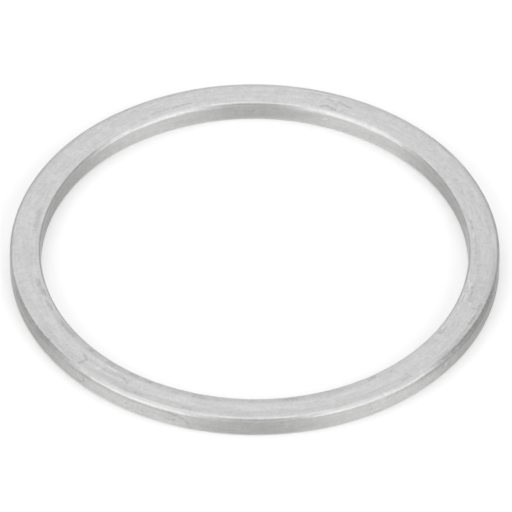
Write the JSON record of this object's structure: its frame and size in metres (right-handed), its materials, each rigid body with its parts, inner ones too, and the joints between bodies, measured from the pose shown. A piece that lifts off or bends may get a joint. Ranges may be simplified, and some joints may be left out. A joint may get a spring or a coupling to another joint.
{
  "type": "hub spacer",
  "caption": "Flat aluminium ring with a plain bore and rounded edges that slides over a hub body and takes up width on it.",
  "frame": {"origin": "centre of the bore at the lower flat face", "axes": "+Z along the bore axis, out of the upper flat face; the ring is the same all round, so +X is free"},
  "size_m": [0.0401, 0.04, 0.0019],
  "materials": {
    "satin_aluminium": "satin, turned and tumbled"
  },
  "bodies": {
    "root": {"spacer_ring": "satin_aluminium"}
  },
  "joints": []
}
